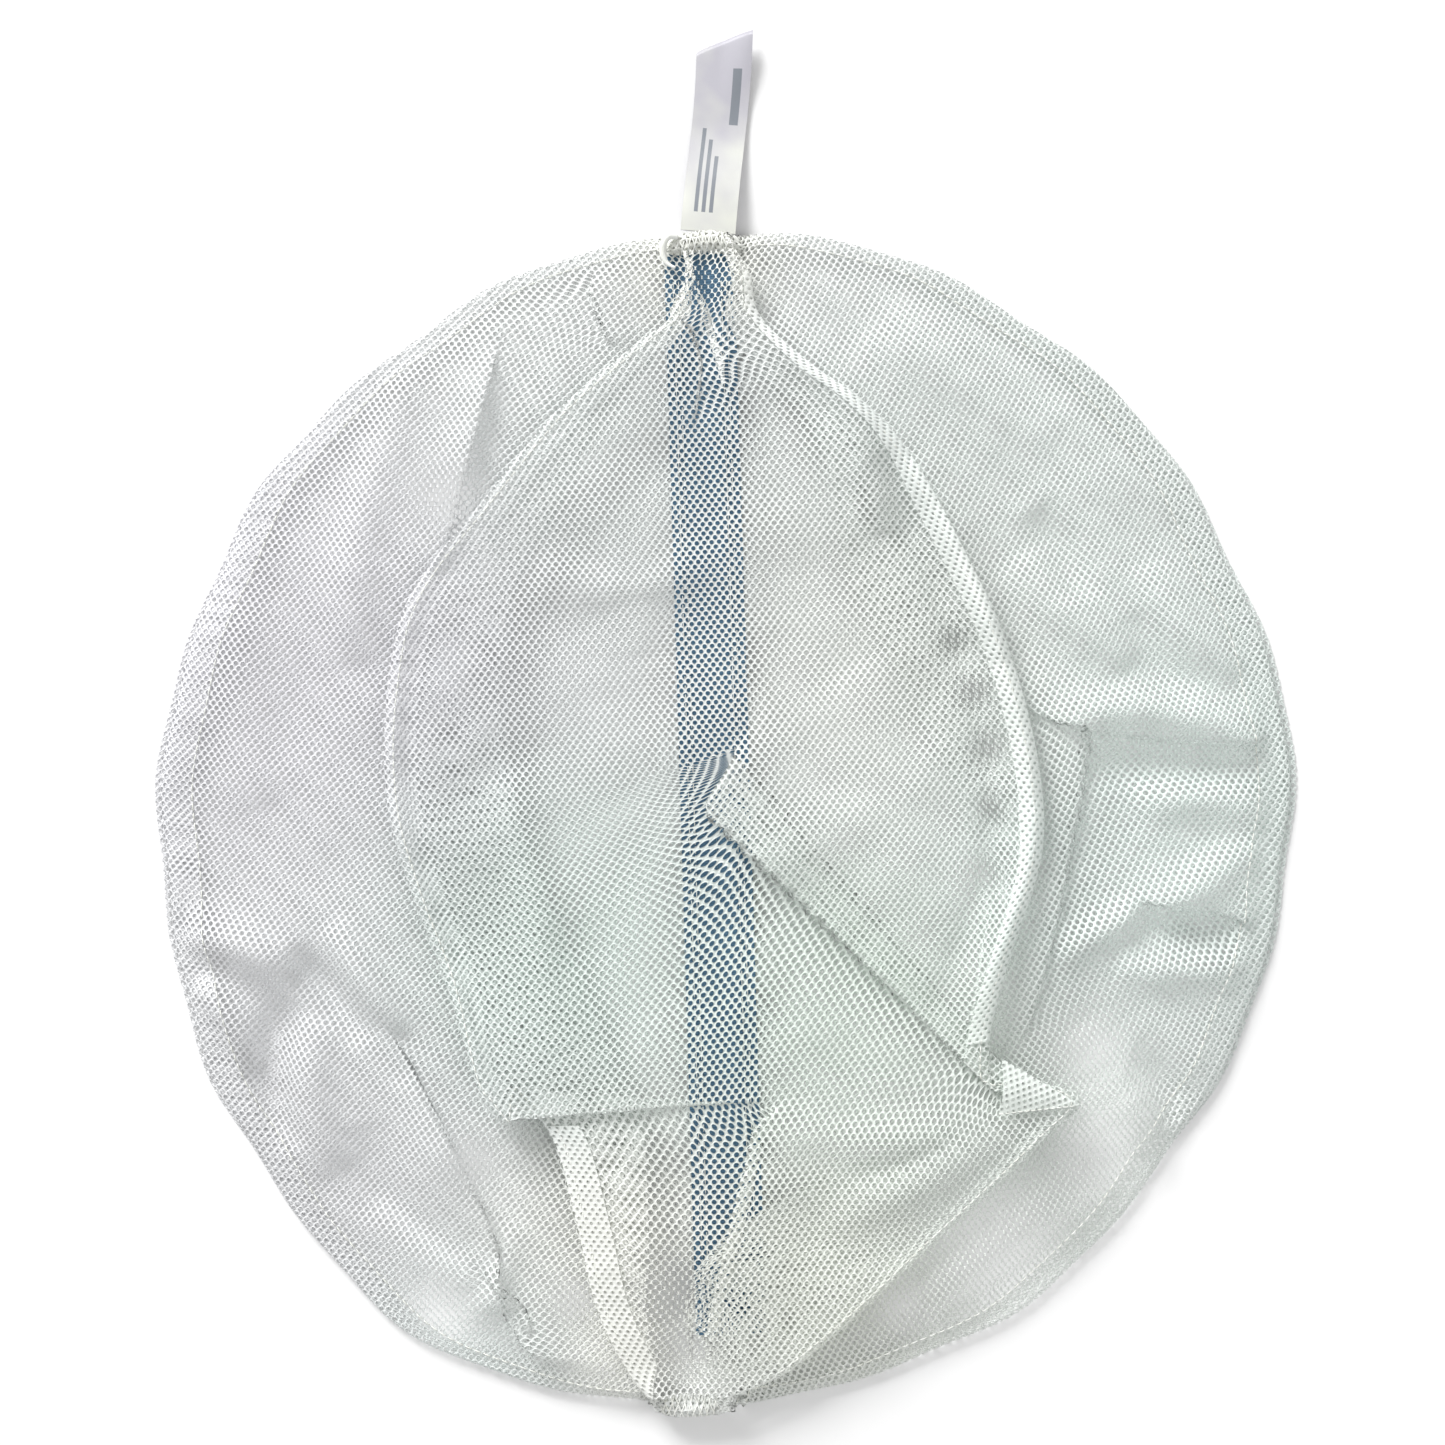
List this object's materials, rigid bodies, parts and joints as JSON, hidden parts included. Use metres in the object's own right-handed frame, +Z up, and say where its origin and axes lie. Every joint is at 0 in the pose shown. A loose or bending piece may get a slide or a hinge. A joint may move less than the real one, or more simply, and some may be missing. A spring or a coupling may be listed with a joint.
{
  "type": "mesh laundry bag",
  "caption": "Round white mesh wash bag of five gores with a blue zip, lying flat and empty, zip side down.",
  "frame": {"origin": "on the surface the bag lies on, under the middle of the bag's box, label included", "axes": "+Z up from the surface, +Y along the zip towards the label, +X to the right as seen from above"},
  "size_m": [0.403, 0.4914, 0.0176],
  "materials": {
    "mesh_cloth": "matte white warp-knit polyester mesh with round holes",
    "seam_thread": "matte off-white overlock thread",
    "zip_tape": "matte blue woven tape",
    "zip_coil": "satin blue nylon coil",
    "zip_metal": "satin blue enamel",
    "satin_label": "glossy white satin ribbon"
  },
  "bodies": {
    "bag": {"back_gore_left": "mesh_cloth", "side_gore_left": "mesh_cloth", "rim_seam_left": "seam_thread", "front_seam_left": "seam_thread", "zip_tape_left": "zip_tape", "zip_coil_left": "zip_coil", "zip_stitch_left": "zip_tape", "zip_closed_stop_left": "zip_metal", "back_gore_right": "mesh_cloth", "side_gore_right": "mesh_cloth", "rim_seam_right": "seam_thread", "front_seam_right": "seam_thread", "zip_tape_right": "zip_tape", "zip_coil_right": "zip_coil", "zip_stitch_right": "zip_tape", "zip_closed_stop_right": "zip_metal", "zip_open_stop": "zip_metal", "front_gore": "mesh_cloth", "back_seam_tail": "seam_thread", "top_bar_tack": "seam_thread", "bottom_bar_tack": "seam_thread", "care_label": "satin_label", "thread_end": "seam_thread"},
    "slider": {"zip_slider": "zip_metal"},
    "pull": {"zip_pull": "zip_metal"}
  },
  "joints": [
    {"name": "zip_slide", "type": "slide", "parent": "bag", "child": "slider", "axis": [0, 1, 0], "range_m": [0, 0.35]},
    {"name": "pull_swing", "type": "hinge", "parent": "slider", "child": "pull", "pos_m": [-0.0035, -0.20558, 0.00195], "axis": [-1, 0, 0], "range_deg": [0, 180]}
  ]
}
